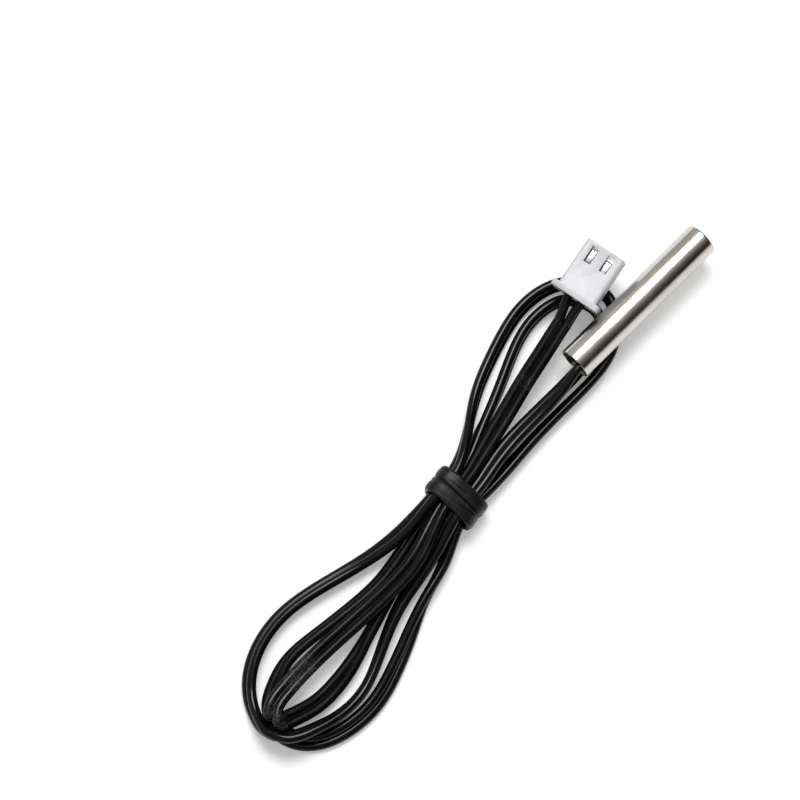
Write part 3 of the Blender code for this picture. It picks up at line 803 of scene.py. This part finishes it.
def makeTie():
    thickness = tie["thickness"]
    outline = []
    for i, (middle, width) in enumerate(tie["wraps"]):
        half = width / 2
        for k in range(tie["profileSteps"] + 1):
            turn = pi - pi * k / tie["profileSteps"]
            along = middle + half * cos(turn)
            depth = -tie["groove"] * (1 - sin(turn) ** 0.55)
            if i == 0:
                depth -= tie["faintGroove"] * exp(-((along - middle - 0.35) / 0.12) ** 2)
            outline.append((along, depth))
    outline += [(outline[-1][0] - 0.12, -thickness), (outline[0][0] + 0.12, -thickness)]
    bm = bmesh.new()
    section = [bm.verts.new((along, 0, tie["spunAt"] + depth)) for along, depth in outline]
    edges = [bm.edges.new(pair) for pair in zip(section, section[1:] + section[:1])]
    bmesh.ops.spin(bm, geom=section + edges, cent=(0, 0, 0), axis=(1, 0, 0), angle=2 * pi,
                   steps=tieLook["steps"], use_merge=True, use_duplicate=False)
    halfWidth = tie["innerHalfWidth"] + thickness
    halfHeight = tie["innerHeight"] / 2 + thickness
    for vert in bm.verts:
        turn = atan2(vert.co.y, vert.co.z)
        depth = hypot(vert.co.y, vert.co.z) - tie["spunAt"]
        outer = superellipse(turn, halfWidth, halfHeight, tie["squareness"][0])
        inner = superellipse(turn, tie["innerHalfWidth"], tie["innerHeight"] / 2, tie["squareness"][1])
        reach = outer + (outer - inner) * depth / thickness
        spot = Vector((vert.co.x * 0.5, 1.3 * sin(turn), 1.3 * cos(turn)))
        raised = 0.0
        if depth > -thickness * 0.9:
            reach += tie["wrinkle"] * noise.noise(spot)
            raised = tie["lean"] * reach * sin(turn) * max(cos(turn), 0.0)
        along = vert.co.x + tie["skew"] * sin(turn + 0.4)
        along += tie["waver"] * noise.noise(spot + Vector((4, 1, 7)))
        vert.co = Vector((along, reach * sin(turn), reach * cos(turn) + raised))
    level = tie["innerBottom"] + tie["innerHeight"] / 2 - axisHeight
    place = Matrix.Translation((*tie["centre"], level)) @ Matrix.Rotation(radians(tie["heading"]), 4, 'Z')
    bmesh.ops.transform(bm, matrix=place, verts=bm.verts)
    mesh = meshFrom(bm, "tieBand")
    return seat(addPiece("tieBand", mesh, makeBandRubber(), 70.0), "black_band", "hank_tie")


tieBand = makeTie()
print("tie wound")


# Plug housing

nylonLook = {
    "dark": (0.55, 0.55, 0.58),
    "light": (0.64, 0.64, 0.665),
    # brownish painted shade where contact B shows through the thin nylon
    "showThroughShade": (0.42, 0.35, 0.27),
    "gloss": (0.30, 0.42),
}


def makeNylon():
    material, tree, shader = newMaterial("whiteNylon")
    vector = placed(tree)
    tones = useGroup(tree, tonesGroup, vector, Scale=260.0, Dark=(*nylonLook["dark"], 1),
                     Light=(*nylonLook["light"], 1))
    relief = useGroup(tree, reliefGroup, vector, Coarse=500.0, Fine=5000.0, Share=0.5)
    coordinates = put(tree, 'ShaderNodeTexCoord')
    # painted shade: a brownish patch on the top face at the far end over contact B, where the contact
    # shows through the thin nylon
    spot = fromPlug(7.95, -plug["pitch"] / 2, plug["thickness"] / 2) * mm
    away = put(tree, 'ShaderNodeVectorMath', operation='DISTANCE')
    away.inputs[1].default_value = spot
    tree.links.new(coordinates.outputs["Object"], away.inputs[0])
    near = spread(tree, away.outputs["Value"], 0.55, 0.0, 0.15 * mm, 0.75 * mm)
    colour = mixColour(tree, near, tones.outputs["Colour"], nylonLook["showThroughShade"])
    tree.links.new(colour, shader.inputs["Base Color"])
    gloss = spread(tree, relief.outputs["Height"], *nylonLook["gloss"], 0.35, 0.65)
    tree.links.new(gloss, shader.inputs["Roughness"])
    roughen(tree, shader, relief.outputs["Height"], 0.02, 0.4)
    shader.inputs["Subsurface Weight"].default_value = 0.25
    shader.inputs["Subsurface Radius"].default_value = (1.0, 0.9, 0.8)
    shader.inputs["Subsurface Scale"].default_value = 0.4 * mm
    return material


def makeHousing():
    wide, thick = plug["width"] / 2, plug["thickness"] / 2
    flangeWide, flangeThick = plug["flangeWidth"] / 2, plug["flangeThickness"] / 2
    start = plug["flangeLength"]
    body = helper(block((start - 0.4, -wide, -thick), (plug["length"], wide, thick), plug["cornerRound"],
                        plug["endRound"], 6))
    flange = helper(block((0, -flangeWide, -flangeThick), (start, flangeWide, flangeThick),
                          plug["cornerRound"], 0.1, 6))
    steps = [('UNION', flange)]
    for side in (1, -1):
        across, half = side * plug["ribOffset"], plug["ribWidth"] / 2
        rib = block((start - 0.3, across - half, -thick - plug["ribHeight"]),
                    (plug["ribEnd"], across + half, -thick + 0.3), 0.12)
        steps.append(('UNION', helper(rib)))
    for side in (1, -1):
        across = side * plug["pitch"] / 2
        half = plug["cavityWidth"] / 2
        cavity = block((-1, across - half, plug["cavityBottom"]),
                       (plug["length"] + 1, across + half, plug["cavityTop"]), plug["cavityRound"])
        steps.append(('DIFFERENCE', helper(cavity)))
        low, high = plug["windowSpan"]
        half = plug["windowWidth"] / 2
        window = block((low, across - half, plug["cavityTop"] - 0.4),
                       (high, across + half, thick + 1), 0.02)
        steps.append(('DIFFERENCE', helper(window)))
    mesh = carve(body, steps, plug["edgeRound"])
    mesh.transform(plugPlace())
    return seat(addPiece("plugHousing", mesh, makeNylon(), 30.0), "white_nylon", "plug_housing")


plugHousing = makeHousing()
print("housing moulded")


# Crimped contacts

contact = {
    "seats": {"A": 0.0, "B": -0.3},
    "boxSpan": (3.8, 7.3),
    "boxWidth": 1.6,
    "boxBottom": -0.85,
    "boxTop": 1.2,
    "sheet": 0.2,
    "strip": 0.16,
    "stripWidth": 0.76,
    "insulationGrip": (0.95, 1.95),
    "wireCrimp": (2.35, 3.45),
    "crimpRadius": 0.5,
    "crimpBore": 0.32,
    "crimpDrop": 0.3,
    "lance": (5.15, 6.85),
    "lanceHeight": 0.12,
    "lanceWidth": 0.66,
    "dimples": (5.0, 6.9),
    "metal": (0.86, 0.86, 0.84),
    "dull": (0.66, 0.65, 0.62),
}


def makeTinned():
    material, tree, shader = newMaterial("tinnedContact")
    vector = placed(tree)
    tones = useGroup(tree, tonesGroup, vector, Scale=1200.0, Dark=(*contact["dull"], 1),
                     Light=(*contact["metal"], 1))
    relief = useGroup(tree, reliefGroup, vector, Coarse=1500.0, Fine=9000.0, Share=0.4)
    tree.links.new(tones.outputs["Colour"], shader.inputs["Base Color"])
    tree.links.new(spread(tree, relief.outputs["Height"], 0.22, 0.4), shader.inputs["Roughness"])
    shader.inputs["Metallic"].default_value = 1.0
    roughen(tree, shader, relief.outputs["Height"], 0.01, 0.4)
    return material


def pipe(span, outer, inner, level, steps=28):
    # open tube along X as a ring of four corners spun about its own axis
    bm = bmesh.new()
    ring = [bm.verts.new((x, 0, r)) for x, r in ((span[0], outer), (span[1], outer), (span[1], inner),
                                                 (span[0], inner))]
    edges = [bm.edges.new(pair) for pair in zip(ring, ring[1:] + ring[:1])]
    bmesh.ops.spin(bm, geom=ring + edges, cent=(0, 0, 0), axis=(1, 0, 0), angle=2 * pi, steps=steps,
                   use_merge=True, use_duplicate=False)
    bmesh.ops.translate(bm, vec=(0, 0, level), verts=bm.verts)
    return bm


def makeContact(letter, side, tinned):
    start, end = contact["boxSpan"]
    half, low, high = contact["boxWidth"] / 2, contact["boxBottom"], contact["boxTop"]
    sheet = contact["sheet"]
    box = helper(block((start, -half, low), (end, half, high), 0.22, 0.0, 5))
    bore = block((start - 1, -half + sheet, low + sheet), (end + 1, half - sheet, high - sheet), 0.12)
    level = low + 0.02
    wide = contact["stripWidth"] / 2
    strip = block((contact["insulationGrip"][0] + 0.1, -wide, level),
                  (start + 0.5, wide, level + contact["strip"]), 0.03)
    barrel = cable["coreRadius"] + 0.03
    grip = pipe(contact["insulationGrip"], barrel + contact["strip"], barrel, 0.0)
    crimp = pipe(contact["wireCrimp"], contact["crimpRadius"], contact["crimpBore"], -contact["crimpDrop"])
    back, front = contact["lance"]
    tongue = contact["lanceWidth"] / 2
    lance = block((back, -tongue, high - 0.12), (front, tongue, high + 0.1), 0.02)
    for vert in lance.verts:
        if vert.co.z > high:
            vert.co.z += contact["lanceHeight"] * (front - vert.co.x) / (front - back)
    dimples = []
    for along in contact["dimples"]:
        dimple = block((along - 0.13, -0.09, high - 0.1), (along + 0.13, 0.09, high + 0.3), 0.03)
        dimples.append(('DIFFERENCE', helper(dimple)))
    steps = [('DIFFERENCE', helper(bore))]
    steps += [('UNION', helper(tool)) for tool in (strip, grip, crimp, lance)]
    for edge in (-1, 1):
        near, beyond = sorted((edge * tongue, edge * (half - sheet - 0.02)))
        gap = block((back - 0.1, near, high - sheet - 0.1), (front + 0.1, beyond, high + 0.4), 0.02)
        steps.append(('DIFFERENCE', helper(gap)))
    mesh = carve(box, steps + dimples, 0.025)
    shift = Vector((contact["seats"][letter], side * plug["pitch"] / 2, 0)) * mm
    mesh.transform(plugPlace() @ Matrix.Translation(shift))
    piece = addPiece("crimpContact" + letter, mesh, tinned, 30.0)
    return seat(piece, "tinned_contact", "contact_" + letter.lower())


tinned = makeTinned()
contacts = [makeContact(letter, side, tinned) for letter, side in (("A", 1), ("B", -1))]
print("contacts folded")


# Inner pieces keep their solids and get their own finishes

innerLooks = {
    "whiteCeramic": {"slot": "white_ceramic", "dark": (0.74, 0.73, 0.69), "light": (0.87, 0.86, 0.83),
                     "gloss": (0.5, 0.65), "metal": 0.0, "nodes": ["rtd_substrate"]},
    "glassGlaze": {"slot": "glass_glaze", "dark": (0.22, 0.32, 0.38), "light": (0.36, 0.46, 0.5),
                   "gloss": (0.08, 0.2), "metal": 0.0, "nodes": ["rtd_glass_cover"]},
    "leadWire": {"slot": "lead_wire", "dark": (0.62, 0.62, 0.6), "light": (0.82, 0.82, 0.8),
                 "gloss": (0.22, 0.38), "metal": 1.0, "nodes": ["element_lead_a", "element_lead_b"]},
    "softSolder": {"slot": "solder", "dark": (0.5, 0.5, 0.5), "light": (0.7, 0.7, 0.69),
                   "gloss": (0.28, 0.5), "metal": 1.0, "nodes": ["solder_joint_a", "solder_joint_b"]},
    "clearSleeving": {"slot": "sleeving", "dark": (0.72, 0.71, 0.66), "light": (0.86, 0.85, 0.81),
                      "gloss": (0.3, 0.45), "metal": 0.0, "nodes": ["lead_sleeving_a", "lead_sleeving_b"]},
    "tinnedCopper": {"slot": "copper_strand", "dark": (0.62, 0.44, 0.34), "light": (0.83, 0.66, 0.55),
                     "gloss": (0.25, 0.42), "metal": 1.0,
                     "nodes": ["probe_conductor_a", "probe_conductor_b", "plug_conductor_a",
                               "plug_conductor_b"]},
}


def dressInnerPieces():
    for name, look in innerLooks.items():
        material, tree, shader = newMaterial(name)
        vector = placed(tree)
        tones = useGroup(tree, tonesGroup, vector, Scale=1500.0, Dark=(*look["dark"], 1),
                         Light=(*look["light"], 1))
        relief = useGroup(tree, reliefGroup, vector, Coarse=2000.0, Fine=9000.0, Share=0.5)
        tree.links.new(tones.outputs["Colour"], shader.inputs["Base Color"])
        tree.links.new(spread(tree, relief.outputs["Height"], *look["gloss"]), shader.inputs["Roughness"])
        shader.inputs["Metallic"].default_value = look["metal"]
        roughen(tree, shader, relief.outputs["Height"], 0.01, 0.4)
        for node in look["nodes"]:
            mesh = cadNodes[node].data
            mesh.materials.clear()
            mesh.materials.append(material)


dressInnerPieces()
print("inner pieces dressed")


# Table and light

studio = {
    "tableSize": 3000.0,
    "tableColour": (0.86, 0.86, 0.86),
    "tableGlow": 0.26,               # added where the camera looks at the table itself
    "ambient": 0.40,
    "farWall": (0.02, 0.02, 0.018),
    "lampSlope": (0.29, 0.29),       # how far the lamp leans over along X and Y for each unit up
    "lampDistance": 600.0,
    "lampSize": (300.0, 250.0),
    "lampPower": 2.75,
    # walls that gloss sees: angle from straight up towards the near side, and colour
    "walls": [(-90, (0.36, 0.34, 0.31)), (-60, (0.46, 0.44, 0.41)), (-40, (0.48, 0.46, 0.43)),
              (-29, (0.36, 0.34, 0.32)), (3, (0.55, 0.55, 0.55)), (31, (0.15, 0.14, 0.13)),
              (53, (0.035, 0.032, 0.028)), (77, (0.008, 0.007, 0.006)), (80, (0.5, 0.48, 0.45)),
              (90, (0.6, 0.57, 0.54))],
}


def makeTable():
    bm = bmesh.new()
    bmesh.ops.create_grid(bm, x_segments=1, y_segments=1, size=studio["tableSize"] / 2)
    bmesh.ops.translate(bm, vec=(0, 0, -axisHeight), verts=bm.verts)
    material, tree, shader = newMaterial("tablePaint")
    vector = placed(tree)
    light = studio["tableColour"]
    tones = useGroup(tree, tonesGroup, vector, Scale=30.0, Dark=tuple(c * 0.985 for c in light) + (1,),
                     Light=(*light, 1))
    tree.links.new(tones.outputs["Colour"], shader.inputs["Base Color"])
    shader.inputs["Roughness"].default_value = 0.9
    shader.inputs["Specular IOR Level"].default_value = 0.0
    shader.inputs["Emission Color"].default_value = (1, 1, 1, 1)
    path = put(tree, 'ShaderNodeLightPath')
    tree.links.new(spread(tree, path.outputs["Is Camera Ray"], 0.0, studio["tableGlow"]),
                   shader.inputs["Emission Strength"])
    mesh = meshFrom(bm, "tableTop")
    mesh.materials.append(material)
    top = bpy.data.objects.new("tableTop", mesh)
    scene.collection.objects.link(top)


def makeLamp():
    data = bpy.data.lights.new("softLamp", 'AREA')
    data.shape = 'RECTANGLE'
    data.size = studio["lampSize"][0] * mm
    data.size_y = studio["lampSize"][1] * mm
    data.energy = studio["lampPower"]
    lamp = bpy.data.objects.new("softLamp", data)
    scene.collection.objects.link(lamp)
    towards = Vector((*studio["lampSlope"], 1.0)).normalized()
    lamp.location = (Vector((-40.0, 0.0, 0.0)) + towards * studio["lampDistance"]) * mm
    lamp.rotation_euler = towards.to_track_quat('Z', 'Y').to_euler()


def makeSurroundings():
    # even grey light; gloss sees a studio that darkens towards the near side and is white low down
    world = bpy.data.worlds.new("studioWalls")
    scene.world = world
    world.use_nodes = True
    tree = world.node_tree
    background = tree.nodes["Background"]
    coordinates = put(tree, 'ShaderNodeTexCoord')
    split = put(tree, 'ShaderNodeSeparateXYZ')
    tree.links.new(coordinates.outputs["Generated"], split.inputs["Vector"])
    flip = put(tree, 'ShaderNodeMath', operation='MULTIPLY')
    flip.inputs[1].default_value = -1.0
    tree.links.new(split.outputs["Y"], flip.inputs[0])
    angle = put(tree, 'ShaderNodeMath', operation='ARCTAN2')
    tree.links.new(flip.outputs[0], angle.inputs[0])
    tree.links.new(split.outputs["Z"], angle.inputs[1])
    ramp = put(tree, 'ShaderNodeValToRGB')
    tree.links.new(spread(tree, angle.outputs[0], 0.0, 1.0, -pi / 2, pi / 2), ramp.inputs["Fac"])
    elements = ramp.color_ramp.elements
    while len(elements) < len(studio["walls"]):
        elements.new(0.5)
    for element, (degrees, colour) in zip(elements, studio["walls"]):
        element.position = (degrees + 90) / 180
        element.color = (*colour, 1)
    walls = mixColour(tree, spread(tree, split.outputs["X"], 0.0, 1.0, 0.4, 0.65), ramp.outputs["Color"],
                      studio["farWall"])
    path = put(tree, 'ShaderNodeLightPath')
    ambient = (studio["ambient"],) * 3
    seen = mixColour(tree, path.outputs["Is Glossy Ray"], ambient, walls)
    tree.links.new(mixColour(tree, path.outputs["Is Camera Ray"], seen, (1.0, 1.0, 1.0)),
                   background.inputs["Color"])


makeTable()
makeLamp()
makeSurroundings()
scene.view_settings.view_transform = 'Standard'
print("table and light set")
